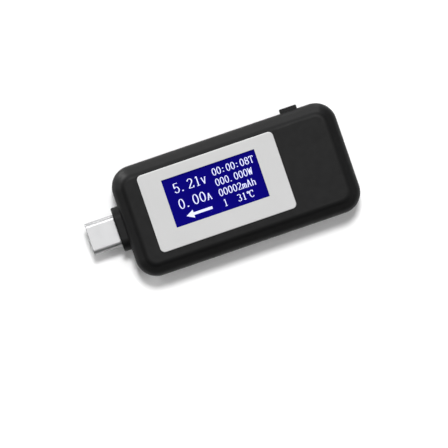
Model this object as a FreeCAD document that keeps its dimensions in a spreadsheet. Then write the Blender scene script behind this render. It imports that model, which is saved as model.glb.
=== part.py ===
"""An in-line USB-C power meter: housing, display, plug, socket, side button and circuit board.

+X points along the body from the plug to the socket, +Y to the side that the button is in, and +Z up
through the display. The origin is the middle of the flat underside. Sizes are in millimetres.
"""

import FreeCAD, Part
import Sketcher
import math
import os
import re

SIZES = {
    # housing
    "body_length": 59.6,
    "body_width": 29.0,
    "body_height": 12.4,
    "parting_height": 6.2,
    "corner_radius": 5.45,
    "wall": 1.6,
    "shoulder_width": 2.8,
    "shoulder_drop": 2.4,
    "shoulder_top_blend": 2.0,
    "shoulder_side_blend": 3.0,
    "cavity_bevel_width": 2.2,
    "cavity_bevel_drop": 1.9,
    "sole_bevel_width": 2.2,
    "sole_bevel_rise": 1.8,
    "sole_blend": 1.5,
    "seam_bevel": 0.12,
    "lip_height": 0.8,
    "lip_thickness": 0.65,
    "lip_gap": 0.08,
    # posts and pins that line up the shells and the board
    "post_radius": 1.6,
    "post_spacing_x": 47.8,
    "post_spacing_y": 18.0,
    "post_centre_x": 1.3,
    "pin_radius": 0.8,
    "pin_length": 2.2,
    "pin_hole_radius": 0.86,
    "pin_hole_depth": 2.0,
    "board_hole_radius": 0.95,
    # faceplate and window
    "faceplate_length": 36.2,
    "faceplate_width": 20.4,
    "faceplate_radius": 1.2,
    "faceplate_thickness": 0.8,
    "faceplate_edge": 0.2,
    "faceplate_gap": 0.12,
    "faceplate_centre_x": -4.84,
    "faceplate_centre_y": 0.98,
    "recess_depth": 0.7,
    "window_length": 24.8,
    "window_width": 12.54,
    "window_thickness": 0.68,
    "window_centre_y": 1.95,
    "display_opening_length": 31.0,
    "display_opening_width": 18.0,
    # display stack
    "display_top": 11.3,
    "polarizer_length": 26.2,
    "polarizer_width": 14.0,
    "polarizer_thickness": 0.2,
    "glass_length": 29.0,
    "glass_thickness": 0.5,
    "front_glass_width": 15.0,
    "rear_glass_width": 17.0,
    "glass_edge_y": 9.4,
    "light_guide_length": 27.0,
    "light_guide_width": 14.6,
    "light_guide_thickness": 1.2,
    "reflector_thickness": 0.1,
    "frame_length": 30.6,
    "frame_width": 17.6,
    "frame_floor": 0.6,
    "led_count": 3,
    "led_pitch": 4.4,
    "led_depth": 1.0,
    "led_width": 2.4,
    "led_height": 0.9,
    "driver_length": 9.0,
    "driver_width": 1.1,
    "driver_height": 0.35,
    "driver_centre_y": -6.2,
    "foam_length": 22.0,
    "foam_strip_width": 3.0,
    "foam_pitch": 10.0,
    "foam_count": 2,
    "tail_width": 11.0,
    "tail_thickness": 0.1,
    "tail_bend": 0.6,
    "tail_start_y": -6.9,
    "tail_drop_y": -8.9,
    "tail_end_y": -11.2,
    # circuit board
    "board_length": 53.0,
    "board_width": 24.2,
    "board_thickness": 0.7,
    "board_radius": 3.2,
    "board_centre_x": 1.3,
    "board_notch_depth": 5.5,
    "board_notch_width": 9.3,
    # plug
    "plug_width": 8.25,
    "plug_height": 2.4,
    "plug_wall": 0.28,
    "plug_edge": 0.12,
    "plug_reach": 9.4,
    "plug_shell_length": 13.2,
    "insulator_gap": 0.02,
    "insulator_inset": 0.25,
    "insulator_length": 13.7,
    "plug_cavity_width": 6.8,
    "contact_thickness": 0.15,
    "contact_width": 0.25,
    "contact_pitch": 0.5,
    "contact_count": 12,
    "plug_contact_inset": 1.0,
    "plug_contact_length": 14.4,
    "latch_thickness": 0.2,
    "latch_plate_length": 5.4,
    "latch_arm_length": 5.8,
    "latch_arm_width": 0.25,
    # collar
    "collar_width": 11.57,
    "collar_height": 6.2,
    "collar_reach": 1.9,
    "collar_edge": 0.35,
    "collar_gap": 0.06,
    "collar_flange_thickness": 1.0,
    "collar_flange_width": 13.4,
    "collar_flange_height": 5.4,
    # socket
    "socket_inner_width": 8.34,
    "socket_inner_height": 2.56,
    "socket_wall": 0.3,
    "socket_length": 7.2,
    "socket_inset": 0.2,
    "socket_gap": 0.12,
    "socket_ear_span": 11.4,
    "socket_ear_length": 1.4,
    "socket_ear_thickness": 0.3,
    "socket_ear_inset": 3.0,
    "tongue_width": 6.69,
    "tongue_inset": 0.5,
    "tongue_base_length": 1.6,
    "tongue_base_gap": 0.02,
    "socket_contact_thickness": 0.1,
    "socket_contact_inset": 0.9,
    # button and its switch
    "button_centre_x": 18.96,
    "button_width": 4.52,
    "button_reach": 1.07,
    "button_underside": 6.35,
    "button_height": 2.45,
    "button_edge": 0.3,
    "button_gap": 0.12,
    "flange_width": 6.0,
    "flange_thickness": 0.95,
    "flange_height": 2.1,
    "flange_gap": 0.05,
    "flange_clearance": 0.15,
    "lip_break_margin": 0.3,
    "switch_width": 4.5,
    "switch_depth": 3.4,
    "switch_height": 2.2,
    "switch_front_y": 11.0,
    "switch_pocket_depth": 2.9,
    "switch_pocket_width": 2.7,
    "switch_pocket_height": 1.4,
    "plunger_width": 1.8,
    "plunger_height": 1.2,
    "plunger_length": 3.1,
    "spring_span": 2.4,
    "spring_rise": 0.55,
    "spring_thickness": 0.08,
    "spring_width": 1.1,
    # rows of chip parts under the board
    "chip_part_length": 0.8,
    "chip_part_width": 1.6,
    "capacitor_height": 0.8,
    "capacitor_row_x": 8.0,
    "capacitor_row_y": 7.0,
    "capacitor_pitch": 2.2,
    "capacitor_count": 6,
    "resistor_height": 0.45,
    "resistor_row_x": -8.0,
    "resistor_row_y": -8.5,
    "resistor_pitch": 1.9,
    "resistor_count": 8,
    # how far a cut runs past the face that it leaves by, and how far joined features run together
    "overcut": 1.0,
    "overlap": 0.2,
}

# Each chip's length, width and height, and the middle of its plan.
CHIP_MEASURES = ("length", "width", "height", "x", "y")
CHIPS_ON_TOP = {
    "microcontroller": (7.0, 7.0, 0.9, 16.4, -2.2),
    "voltage_regulator": (2.9, 1.6, 1.1, 15.4, 4.2),
    "protection_diode": (2.6, 1.6, 1.0, 19.8, -9.0),
    "crystal": (3.2, 2.5, 0.8, 14.6, -8.6),
}
CHIPS_UNDERNEATH = {
    "shunt_resistor": (6.4, 3.2, 0.6, -6.0, 0.0),
    "memory_chip": (4.9, 3.9, 1.5, -15.0, 5.5),
    "current_amplifier": (3.0, 3.0, 0.95, 3.0, -5.0),
}
for chip, values in (CHIPS_ON_TOP | CHIPS_UNDERNEATH).items():
    for measure, value in zip(CHIP_MEASURES, values):
        SIZES[f"{chip}_{measure}"] = value

# The least change of volume, in cubic millimetres, that shows a feature did its work.
LEAST_CHANGE = 1e-7
# How far an edge may lie from where it is looked for.
EDGE_TOLERANCE = 1e-4

doc = FreeCAD.newDocument("UsbPowerMeter")
sheet = doc.addObject("Spreadsheet::Sheet", "Sizes")
ALIAS = re.compile(r"[a-z][a-z_]*")


def fill_sheet():
    """Write each driving dimension to the sheet, its alias beside it."""
    for row, (alias, value) in enumerate(SIZES.items(), start=1):
        sheet.set(f"A{row}", alias)
        sheet.set(f"B{row}", str(value))
        sheet.setAlias(f"B{row}", alias)
    doc.recompute()


def formula(expression):
    """The expression with each alias pointed at the sheet."""
    return ALIAS.sub(lambda found: "Sizes." + found.group(), str(expression))


def number(expression):
    """The value of an expression over the sheet's aliases."""
    text = ALIAS.sub(lambda found: f"({sheet.get(found.group())})", str(expression))
    return FreeCAD.Units.parseQuantity(text).Value


# Heights and lines that several pieces share, as expressions over the sheet.
BOARD_TOP = "(parting_height + board_thickness / 2)"
BOARD_UNDERSIDE = "(parting_height - board_thickness / 2)"
CEILING = "(body_height - wall)"
FACEPLATE_SEAT = "(body_height - recess_depth)"
FRONT_GLASS_TOP = "(display_top - polarizer_thickness)"
REAR_GLASS_TOP = "(display_top - polarizer_thickness - glass_thickness)"
REAR_GLASS_UNDERSIDE = "(display_top - polarizer_thickness - 2 * glass_thickness)"
GUIDE_UNDERSIDE = f"({REAR_GLASS_UNDERSIDE} - polarizer_thickness - light_guide_thickness)"
FRAME_UNDERSIDE = f"({GUIDE_UNDERSIDE} - reflector_thickness - frame_floor)"
PLUG_TIP = "(-body_length / 2 - plug_reach)"
SOCKET_MOUTH = "(body_length / 2 - socket_inset)"
SOCKET_REAR = "(body_length / 2 - socket_inset - socket_length)"
INNER_WALL_Y = "(body_width / 2 - wall)"
BUTTON_MIDDLE = "(button_underside + button_height / 2)"
FLANGE_INNER_Y = f"({INNER_WALL_Y} - flange_gap - flange_thickness)"
PLUNGER_INNER_Y = f"({FLANGE_INNER_Y} - plunger_length)"
FACEPLATE_PLAN = ("faceplate_centre_x", "faceplate_centre_y")
WINDOW_PLAN = ("faceplate_centre_x", "window_centre_y")


def new_body(label):
    body = doc.addObject("PartDesign::Body", label)
    body.Label = label
    return body


def new_sketch(body, name, plane, u="0", v="0", offset="0"):
    """A sketch on one of the body's own origin planes, its origin moved to (u, v) and off the plane."""
    sketch = body.newObject("Sketcher::SketchObject", f"{body.Name}_{name}")
    origin_plane = next(o for o in body.Origin.OriginFeatures if o.Role == plane)
    sketch.AttachmentSupport = [(origin_plane, "")]
    sketch.MapMode = "FlatFace"
    sketch.setExpression("AttachmentOffset.Base.x", formula(u))
    sketch.setExpression("AttachmentOffset.Base.y", formula(v))
    sketch.setExpression("AttachmentOffset.Base.z", formula(offset))
    return sketch


def dimension(sketch, name, kind, *where, size):
    """Add a driving constraint and bind it to the sheet."""
    index = sketch.addConstraint(Sketcher.Constraint(kind, *where, number(size)))
    sketch.renameConstraint(index, name)
    sketch.setExpression(f"Constraints.{name}", formula(size))


def point(u, v):
    return FreeCAD.Vector(u, v, 0)


def draw_rectangle(sketch, width, height):
    """A rectangle centred on the sketch's origin."""
    u, v = number(width) / 2, number(height) / 2
    corners = [point(-u, -v), point(u, -v), point(u, v), point(-u, v)]
    for start, end in zip(corners, corners[1:] + corners[:1]):
        sketch.addGeometry(Part.LineSegment(start, end), False)
    for line in range(4):
        sketch.addConstraint(Sketcher.Constraint("Coincident", line, 2, (line + 1) % 4, 1))
        sketch.addConstraint(Sketcher.Constraint("Vertical" if line % 2 else "Horizontal", line))
    sketch.addConstraint(Sketcher.Constraint("Symmetric", 0, 1, 2, 1, -1, 1))
    dimension(sketch, "width", "DistanceX", 0, 1, 0, 2, size=width)
    dimension(sketch, "height", "DistanceY", 1, 1, 1, 2, size=height)


def draw_rounded_rectangle(sketch, width, height, radius):
    """A rectangle with round corners, centred on the sketch's origin."""
    r = number(radius)
    u, v = number(width) / 2 - r, number(height) / 2 - r
    normal = FreeCAD.Vector(0, 0, 1)
    quarter = math.pi / 2
    centres = [point(u, -v), point(u, v), point(-u, v), point(-u, -v)]
    starts = [point(-u, -v - r), point(u + r, -v), point(u, v + r), point(-u - r, v)]
    ends = [point(u, -v - r), point(u + r, v), point(-u, v + r), point(-u - r, -v)]
    for side in range(4):
        sketch.addGeometry(Part.LineSegment(starts[side], ends[side]), False)
        circle = Part.Circle(centres[side], normal, r)
        sketch.addGeometry(Part.ArcOfCircle(circle, (side - 1) * quarter, side * quarter), False)
    for piece in range(8):
        sketch.addConstraint(Sketcher.Constraint("Tangent", piece, 2, (piece + 1) % 8, 1))
    for line in (0, 4):
        sketch.addConstraint(Sketcher.Constraint("Horizontal", line))
        sketch.addConstraint(Sketcher.Constraint("Vertical", line + 2))
    for arc in (3, 5, 7):
        sketch.addConstraint(Sketcher.Constraint("Equal", 1, arc))
    sketch.addConstraint(Sketcher.Constraint("Symmetric", 3, 3, 7, 3, -1, 1))
    dimension(sketch, "radius", "Radius", 1, size=radius)
    dimension(sketch, "straight_width", "DistanceX", 5, 3, 3, 3, size=f"({width}) - 2 * ({radius})")
    dimension(sketch, "straight_height", "DistanceY", 1, 3, 3, 3, size=f"({height}) - 2 * ({radius})")


def draw_stadium(sketch, width, height):
    """Two half circles joined by straight lines, centred on the sketch's origin."""
    r = number(height) / 2
    u = number(width) / 2 - r
    normal = FreeCAD.Vector(0, 0, 1)
    quarter = math.pi / 2
    sketch.addGeometry(Part.LineSegment(point(-u, -r), point(u, -r)), False)
    sketch.addGeometry(Part.ArcOfCircle(Part.Circle(point(u, 0), normal, r), -quarter, quarter), False)
    sketch.addGeometry(Part.LineSegment(point(u, r), point(-u, r)), False)
    sketch.addGeometry(Part.ArcOfCircle(Part.Circle(point(-u, 0), normal, r), quarter, 3 * quarter), False)
    for piece in range(4):
        sketch.addConstraint(Sketcher.Constraint("Tangent", piece, 2, (piece + 1) % 4, 1))
    sketch.addConstraint(Sketcher.Constraint("Horizontal", 0))
    sketch.addConstraint(Sketcher.Constraint("Symmetric", 1, 3, 3, 3, -1, 1))
    dimension(sketch, "radius", "Radius", 1, size=f"({height}) / 2")
    dimension(sketch, "straight_width", "DistanceX", 3, 3, 1, 3, size=f"({width}) - ({height})")


def draw_four_circles(sketch, radius, spacing_u, spacing_v):
    """Four equal circles at the corners of a rectangle centred on the sketch's origin."""
    u, v, r = number(spacing_u) / 2, number(spacing_v) / 2, number(radius)
    for centre in (point(u, v), point(-u, v), point(u, -v), point(-u, -v)):
        sketch.addGeometry(Part.Circle(centre, FreeCAD.Vector(0, 0, 1), r), False)
    for circle in (1, 2, 3):
        sketch.addConstraint(Sketcher.Constraint("Equal", 0, circle))
    sketch.addConstraint(Sketcher.Constraint("Symmetric", 0, 3, 1, 3, -2))
    sketch.addConstraint(Sketcher.Constraint("Symmetric", 0, 3, 2, 3, -1))
    sketch.addConstraint(Sketcher.Constraint("Symmetric", 0, 3, 3, 3, -1, 1))
    dimension(sketch, "radius", "Radius", 0, size=radius)
    dimension(sketch, "spacing_u", "DistanceX", 1, 3, 0, 3, size=spacing_u)
    dimension(sketch, "spacing_v", "DistanceY", 2, 3, 0, 3, size=spacing_v)


def add_feature(body, kind, name, settings, sizes):
    """Add a feature to the body's last one, bind its sizes, and stop if it changed nothing."""
    before = body.Tip.Shape.Volume if body.Tip else 0.0
    feature = body.newObject(f"PartDesign::{kind}", f"{body.Name}_{name}")
    for key, value in settings.items():
        setattr(feature, key, value)
    for key, size in sizes.items():
        feature.setExpression(key, formula(size))
    doc.recompute()
    if abs(feature.Shape.Volume - before) < LEAST_CHANGE:
        raise RuntimeError(f"{feature.Name} changed nothing")
    body.Tip = feature
    return feature


def pad(body, name, sketch, length):
    """Add the sketch's area over a length along its normal."""
    return add_feature(body, "Pad", name, {"Profile": sketch}, {"Length": length})


def pocket(body, name, sketch, length, forward=False):
    """Cut the sketch's area over a length against its normal, or along it."""
    settings = {"Profile": sketch, "Reversed": forward}
    return add_feature(body, "Pocket", name, settings, {"Length": length})


def edges_where(shape, test):
    """The names of a shape's edges whose bounding box passes a test."""
    return [f"Edge{i}" for i, edge in enumerate(shape.Edges, start=1) if test(edge.BoundBox)]


def level_edges(shape, height):
    """The names of the edges that lie level at a height."""
    low, high = number(height) - EDGE_TOLERANCE, number(height) + EDGE_TOLERANCE
    return edges_where(shape, lambda box: low < box.ZMin and box.ZMax < high)


def edges_along_x(shape, y, z):
    """The names of the edges that run along X through a point of the YZ plane."""
    def runs_through(box):
        misses = (box.YMin - y, box.YMax - y, box.ZMin - z, box.ZMax - z)
        return max(abs(miss) for miss in misses) < EDGE_TOLERANCE

    return edges_where(shape, runs_through)


def bevel(body, name, edges, height, width):
    """A chamfer round a level outline, from its height up the wall and its width across the flat."""
    settings = {"Base": (body.Tip, edges), "ChamferType": "Two distances"}
    return add_feature(body, "Chamfer", name, settings, {"Size": height, "Size2": width})


def soften(body, name, edges, radius):
    """Round the named edges of the body's last feature."""
    return add_feature(body, "Fillet", name, {"Base": (body.Tip, edges)}, {"Radius": radius})


def repeat(body, name, feature, role, spacing, count):
    """Repeat a feature along one of the body's origin axes."""
    axis = next(o for o in body.Origin.OriginFeatures if o.Role == role)
    settings = {"Originals": [feature], "Direction": (axis, [""])}
    sizes = {"Length": f"({spacing}) * ({count} - 1)", "Occurrences": count}
    return add_feature(body, "LinearPattern", name, settings, sizes)


def block(label, length, width, height, x, y, z):
    """A plain block, from its sizes, the middle of its plan and the height of its underside."""
    piece = doc.addObject("Part::Box", label)
    piece.Label = label
    piece.setExpression("Length", formula(length))
    piece.setExpression("Width", formula(width))
    piece.setExpression("Height", formula(height))
    piece.setExpression("Placement.Base.x", formula(f"({x}) - ({length}) / 2"))
    piece.setExpression("Placement.Base.y", formula(f"({y}) - ({width}) / 2"))
    piece.setExpression("Placement.Base.z", formula(z))
    return piece


def row_of_blocks(label, length, width, height, x, y, z, count, spacing, role="X_Axis"):
    """Equal blocks in a row along an axis, the row centred on (x, y)."""
    body = new_body(label)
    half_row = f"({spacing}) * ({count} - 1) / 2"
    first_x = f"({x}) - {half_row}" if role == "X_Axis" else x
    first_y = f"({y}) - {half_row}" if role == "Y_Axis" else y
    outline = new_sketch(body, "outline", "XY_Plane", first_x, first_y, z)
    draw_rectangle(outline, length, width)
    first = pad(body, "first", outline, height)
    repeat(body, "row", first, role, spacing, count)
    return body


def shell_outline(body, name, inset, height):
    """The housing's outline in plan, drawn a given distance inside its outer face."""
    sketch = new_sketch(body, name, "XY_Plane", offset=height)
    draw_rounded_rectangle(
        sketch,
        f"body_length - 2 * ({inset})",
        f"body_width - 2 * ({inset})",
        f"corner_radius - ({inset})",
    )
    return sketch


def cut_shell_openings(body):
    """The holes in the end walls that the collar and the socket sit in."""
    before_wall = "-body_length / 2 - overcut"
    collar = new_sketch(body, "collar_hole", "YZ_Plane", v="parting_height", offset=before_wall)
    draw_stadium(collar, "collar_width + 2 * collar_gap", "collar_height + 2 * collar_gap")
    pocket(body, "collar_opening", collar, "wall + 2 * overcut", forward=True)
    past_wall = "body_length / 2 + overcut"
    socket = new_sketch(body, "socket_hole", "YZ_Plane", v="parting_height", offset=past_wall)
    draw_stadium(
        socket,
        "socket_inner_width + 2 * socket_wall + 2 * socket_gap",
        "socket_inner_height + 2 * socket_wall + 2 * socket_gap",
    )
    pocket(body, "socket_opening", socket, "wall + 2 * overcut")


def four_posts(body, name, radius, height):
    """A sketch of the four alignment posts, pins or holes."""
    sketch = new_sketch(body, name, "XY_Plane", u="post_centre_x", offset=height)
    draw_four_circles(sketch, radius, "post_spacing_x", "post_spacing_y")
    return sketch


def make_top_shell():
    body = new_body("top_shell")
    outline = shell_outline(body, "outline", "0", "parting_height")
    pad(body, "block", outline, "body_height - parting_height")
    bevel(body, "seam", level_edges(body.Tip.Shape, "parting_height"), "seam_bevel", "seam_bevel")
    top_edges = level_edges(body.Tip.Shape, "body_height")
    bevel(body, "shoulder", top_edges, "shoulder_drop", "shoulder_width")
    soften(body, "top_blend", level_edges(body.Tip.Shape, "body_height"), "shoulder_top_blend")
    side_edges = level_edges(body.Tip.Shape, "body_height - shoulder_drop")
    soften(body, "side_blend", side_edges, "shoulder_side_blend")
    cavity = shell_outline(body, "cavity_outline", "wall", "parting_height")
    pocket(body, "cavity", cavity, f"{CEILING} - parting_height", forward=True)
    ceiling_edges = level_edges(body.Tip.Shape, CEILING)
    bevel(body, "cavity_bevel", ceiling_edges, "cavity_bevel_drop", "cavity_bevel_width")
    posts = four_posts(body, "posts_outline", "post_radius", BOARD_TOP)
    pad(body, "posts", posts, f"{CEILING} + overlap - {BOARD_TOP}")
    holes = four_posts(body, "holes_outline", "pin_hole_radius", BOARD_TOP)
    pocket(body, "pin_holes", holes, "pin_hole_depth", forward=True)
    groove = shell_outline(body, "groove_outline", "wall - lip_thickness - lip_gap", "parting_height")
    pocket(body, "lip_groove", groove, "lip_height + lip_gap", forward=True)
    recess = new_sketch(body, "recess_outline", "XY_Plane", *FACEPLATE_PLAN, "body_height")
    draw_rounded_rectangle(
        recess,
        "faceplate_length + 2 * faceplate_gap",
        "faceplate_width + 2 * faceplate_gap",
        "faceplate_radius + faceplate_gap",
    )
    pocket(body, "faceplate_recess", recess, "recess_depth")
    opening = new_sketch(body, "opening_outline", "XY_Plane", *FACEPLATE_PLAN, "body_height")
    draw_rectangle(opening, "display_opening_length", "display_opening_width")
    pocket(body, "display_opening", opening, "wall + overcut")
    cut_shell_openings(body)
    button_plan = ("button_centre_x", "body_width / 2")
    notch = new_sketch(body, "notch_outline", "XY_Plane", *button_plan, "parting_height")
    draw_rectangle(notch, "button_width + 2 * button_gap", "2 * (wall + overlap)")
    notch_height = "button_underside + button_height + button_gap - parting_height"
    pocket(body, "button_notch", notch, notch_height, forward=True)
    return body


def make_bottom_shell():
    body = new_body("bottom_shell")
    pad(body, "block", shell_outline(body, "outline", "0", "0"), "parting_height")
    bevel(body, "seam", level_edges(body.Tip.Shape, "parting_height"), "seam_bevel", "seam_bevel")
    bevel(body, "sole_bevel", level_edges(body.Tip.Shape, "0"), "sole_bevel_rise", "sole_bevel_width")
    soften(body, "side_blend", level_edges(body.Tip.Shape, "sole_bevel_rise"), "sole_blend")
    soften(body, "sole_blend", level_edges(body.Tip.Shape, "0"), "sole_blend")
    lip = shell_outline(body, "lip_outline", "wall - lip_thickness", "parting_height")
    pad(body, "lip", lip, "lip_height")
    cavity = shell_outline(body, "cavity_outline", "wall", "parting_height + lip_height")
    pocket(body, "cavity", cavity, "parting_height + lip_height - wall")
    posts = four_posts(body, "posts_outline", "post_radius", "wall - overlap")
    pad(body, "posts", posts, f"{BOARD_UNDERSIDE} - wall + overlap")
    pins = four_posts(body, "pins_outline", "pin_radius", BOARD_UNDERSIDE)
    pad(body, "pins", pins, "pin_length")
    button_plan = ("button_centre_x", "body_width / 2")
    lip_break = new_sketch(body, "lip_break_outline", "XY_Plane", *button_plan, "parting_height")
    draw_rectangle(lip_break, "flange_width + 2 * lip_break_margin", "2 * (wall + overlap)")
    pocket(body, "lip_break", lip_break, "lip_height + overcut", forward=True)
    cut_shell_openings(body)
    return body


def make_faceplate():
    body = new_body("faceplate")
    outline = new_sketch(body, "outline", "XY_Plane", *FACEPLATE_PLAN, FACEPLATE_SEAT)
    draw_rounded_rectangle(outline, "faceplate_length", "faceplate_width", "faceplate_radius")
    pad(body, "plate", outline, "faceplate_thickness")
    top = f"{FACEPLATE_SEAT} + faceplate_thickness"
    soften(body, "edge", level_edges(body.Tip.Shape, top), "faceplate_edge")
    window = new_sketch(body, "window_outline", "XY_Plane", *WINDOW_PLAN, top)
    draw_rectangle(window, "window_length", "window_width")
    pocket(body, "window", window, "faceplate_thickness + overcut")
    return body


def make_collar():
    body = new_body("plug_collar")
    face = "(-body_length / 2 - collar_reach)"
    outer = new_sketch(body, "outline", "YZ_Plane", v="parting_height", offset=face)
    draw_stadium(outer, "collar_width", "collar_height")
    pad(body, "sleeve", outer, "collar_reach + wall + collar_gap")
    front_edges = edges_where(body.Tip.Shape, lambda box: box.XMax < number(face) + EDGE_TOLERANCE)
    soften(body, "edge", front_edges, "collar_edge")
    inner_wall = "-body_length / 2 + wall + collar_gap"
    flange = new_sketch(body, "flange_outline", "YZ_Plane", v="parting_height", offset=inner_wall)
    draw_stadium(flange, "collar_flange_width", "collar_flange_height")
    pad(body, "flange", flange, "collar_flange_thickness")
    bore = new_sketch(body, "bore_outline", "YZ_Plane", v="parting_height", offset=face)
    draw_stadium(bore, "plug_width + 2 * insulator_gap", "plug_height + 2 * insulator_gap")
    collar_length = "collar_reach + wall + collar_gap + collar_flange_thickness"
    pocket(body, "bore", bore, f"{collar_length} + overcut", forward=True)
    return body


def make_plug_shell():
    body = new_body("plug_shell")
    outer = new_sketch(body, "outline", "YZ_Plane", v="parting_height", offset=PLUG_TIP)
    draw_stadium(outer, "plug_width", "plug_height")
    pad(body, "block", outer, "plug_shell_length")
    past_tip = number(PLUG_TIP) + EDGE_TOLERANCE
    tip_edges = edges_where(body.Tip.Shape, lambda box: box.XMax < past_tip)
    soften(body, "tip_edge", tip_edges, "plug_edge")
    mouth = new_sketch(body, "mouth_outline", "YZ_Plane", v="parting_height", offset=PLUG_TIP)
    draw_stadium(mouth, "plug_width - 2 * plug_wall", "plug_height - 2 * plug_wall")
    pocket(body, "mouth", mouth, "plug_shell_length + overcut", forward=True)
    return body


def make_plug_insulator():
    """The plastic liner: a flat tube that the contacts lie in, open at both ends."""
    body = new_body("plug_insulator")
    start = f"({PLUG_TIP} + insulator_inset)"
    outer = new_sketch(body, "outline", "YZ_Plane", v="parting_height", offset=start)
    draw_stadium(
        outer,
        "plug_width - 2 * plug_wall - 2 * insulator_gap",
        "plug_height - 2 * plug_wall - 2 * insulator_gap",
    )
    pad(body, "block", outer, "insulator_length")
    cavity = new_sketch(body, "cavity_outline", "YZ_Plane", v="parting_height", offset=start)
    draw_rectangle(cavity, "plug_cavity_width", "board_thickness + 2 * contact_thickness")
    pocket(body, "cavity", cavity, "insulator_length + overcut", forward=True)
    return body


def make_plug_latch():
    """The steel latch: a plate in the middle of the plug with an arm along each side of its mouth."""
    body = new_body("plug_latch")
    rear = f"({PLUG_TIP} + insulator_inset + insulator_length)"
    underside = "parting_height - latch_thickness / 2"
    centre = f"{rear} - latch_plate_length / 2"
    plate = new_sketch(body, "plate_outline", "XY_Plane", centre, offset=underside)
    draw_rectangle(plate, "latch_plate_length", "plug_cavity_width")
    pad(body, "plate", plate, "latch_thickness")
    arm_x = f"{rear} - latch_plate_length - latch_arm_length / 2 + overlap / 2"
    for name, side in (("left", "1"), ("right", "-1")):
        arm_y = f"{side} * (plug_cavity_width - latch_arm_width) / 2"
        arm = new_sketch(body, f"{name}_arm_outline", "XY_Plane", arm_x, arm_y, underside)
        draw_rectangle(arm, "latch_arm_length + overlap", "latch_arm_width")
        pad(body, f"{name}_arm", arm, "latch_thickness")
    return body


def make_contacts(label, start, length, thickness, underside):
    """A row of contacts side by side across the plug or the socket."""
    return row_of_blocks(
        label, length, "contact_width", thickness,
        f"{start} + ({length}) / 2", "0", underside, "contact_count", "contact_pitch", "Y_Axis",
    )


def make_socket_shell():
    body = new_body("socket_shell")
    outer = new_sketch(body, "outline", "YZ_Plane", v="parting_height", offset=SOCKET_REAR)
    draw_stadium(outer, "socket_inner_width + 2 * socket_wall", "socket_inner_height + 2 * socket_wall")
    pad(body, "block", outer, "socket_length")
    ear_x = f"{SOCKET_REAR} + socket_ear_inset"
    ears = new_sketch(body, "ears_outline", "XY_Plane", ear_x, offset=BOARD_TOP)
    draw_rectangle(ears, "socket_ear_length", "socket_ear_span")
    pad(body, "ears", ears, "socket_ear_thickness")
    mouth = new_sketch(body, "mouth_outline", "YZ_Plane", v="parting_height", offset=SOCKET_REAR)
    draw_stadium(mouth, "socket_inner_width", "socket_inner_height")
    pocket(body, "mouth", mouth, "socket_length + overcut", forward=True)
    return body


def make_socket_tongue():
    """The plastic tongue that a plug slides over, on the base that closes the back of the socket."""
    body = new_body("socket_tongue")
    base = new_sketch(body, "base_outline", "YZ_Plane", v="parting_height", offset=SOCKET_REAR)
    draw_stadium(
        base,
        "socket_inner_width - 2 * tongue_base_gap",
        "socket_inner_height - 2 * tongue_base_gap",
    )
    pad(body, "base", base, "tongue_base_length")
    tongue = new_sketch(body, "tongue_outline", "YZ_Plane", v="parting_height", offset=SOCKET_REAR)
    draw_rectangle(tongue, "tongue_width", "board_thickness")
    pad(body, "tongue", tongue, "socket_length - tongue_inset")
    for name, side in (("upper", "1"), ("lower", "-1")):
        slot_z = f"parting_height + {side} * (board_thickness + socket_contact_thickness) / 2"
        slot = new_sketch(body, f"{name}_slot_outline", "YZ_Plane", v=slot_z, offset=SOCKET_REAR)
        draw_rectangle(slot, "contact_pitch * contact_count", "socket_contact_thickness")
        pocket(body, f"{name}_slot", slot, "tongue_base_length + overlap", forward=True)
    return body


def make_main_board():
    body = new_body("main_board")
    outline = new_sketch(body, "outline", "XY_Plane", "board_centre_x", offset=BOARD_UNDERSIDE)
    draw_rounded_rectangle(outline, "board_length", "board_width", "board_radius")
    pad(body, "plate", outline, "board_thickness")
    notch_x = "board_centre_x + board_length / 2 - board_notch_depth / 2 + overcut / 2"
    notch = new_sketch(body, "notch_outline", "XY_Plane", notch_x, offset=BOARD_TOP)
    draw_rectangle(notch, "board_notch_depth + overcut", "board_notch_width")
    pocket(body, "socket_notch", notch, "board_thickness + overcut")
    holes = four_posts(body, "holes_outline", "board_hole_radius", BOARD_TOP)
    pocket(body, "pin_holes", holes, "board_thickness + overcut")
    return body


def make_backlight_frame():
    body = new_body("backlight_frame")
    outline = new_sketch(body, "outline", "XY_Plane", *FACEPLATE_PLAN, FRAME_UNDERSIDE)
    draw_rectangle(outline, "frame_length", "frame_width")
    pad(body, "block", outline, f"{REAR_GLASS_UNDERSIDE} - {FRAME_UNDERSIDE}")
    tray_x = "faceplate_centre_x + led_depth / 2"
    tray = new_sketch(body, "tray_outline", "XY_Plane", tray_x, "window_centre_y", REAR_GLASS_UNDERSIDE)
    draw_rectangle(tray, "light_guide_length + led_depth", "light_guide_width")
    pocket(body, "tray", tray, f"{REAR_GLASS_UNDERSIDE} - {FRAME_UNDERSIDE} - frame_floor")
    return body


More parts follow.
